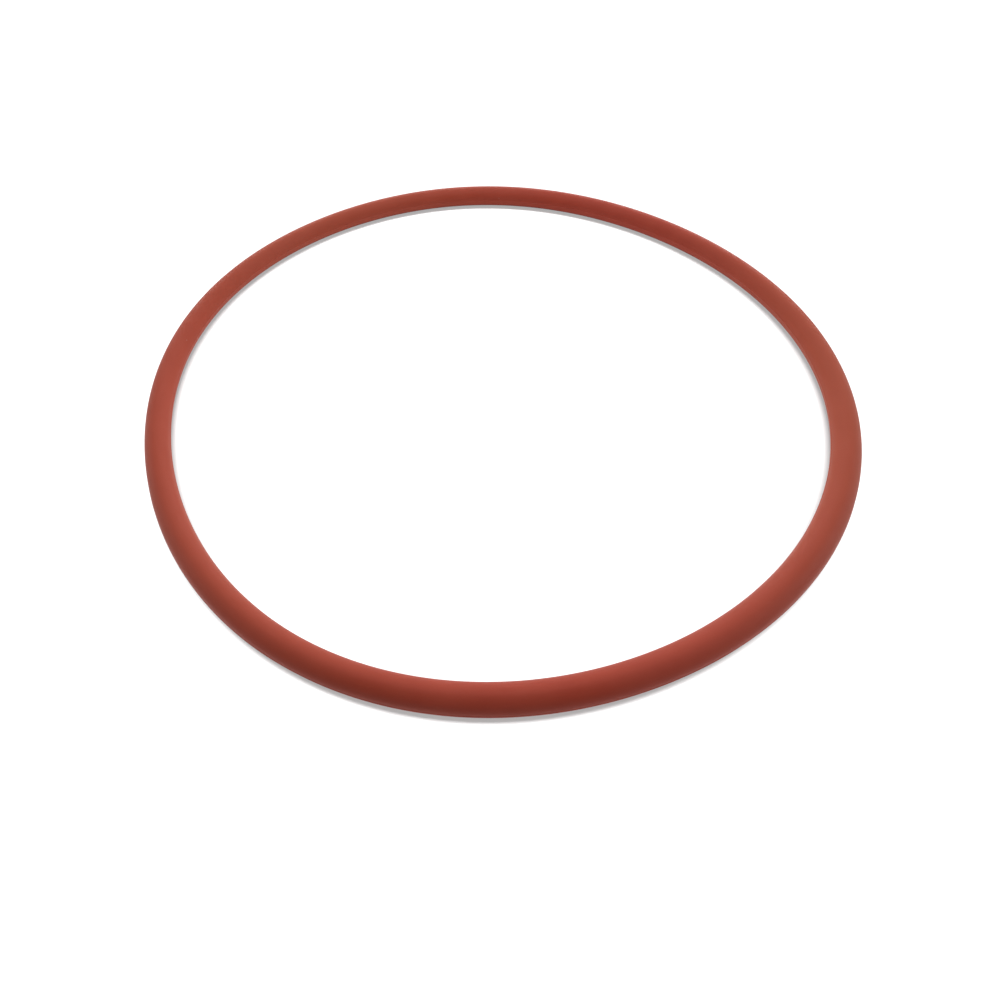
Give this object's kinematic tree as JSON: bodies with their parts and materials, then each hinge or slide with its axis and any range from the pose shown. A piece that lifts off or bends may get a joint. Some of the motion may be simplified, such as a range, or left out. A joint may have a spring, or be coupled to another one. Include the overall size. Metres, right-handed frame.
{
  "type": "silicone o-ring",
  "caption": "Round sealing ring of circular section, moulded in one piece, for a groove in a shaft, bore or flange.",
  "frame": {"origin": "centre of the ring, on its axis and in the plane of its parting line", "axes": "+Z along the ring's axis, up as the ring lies flat; X and Y across the ring"},
  "size_m": [0.102, 0.102, 0.0036],
  "materials": {
    "silicone": "matt moulded red oxide silicone"
  },
  "bodies": {
    "root": {"o_ring": "silicone"}
  },
  "joints": []
}
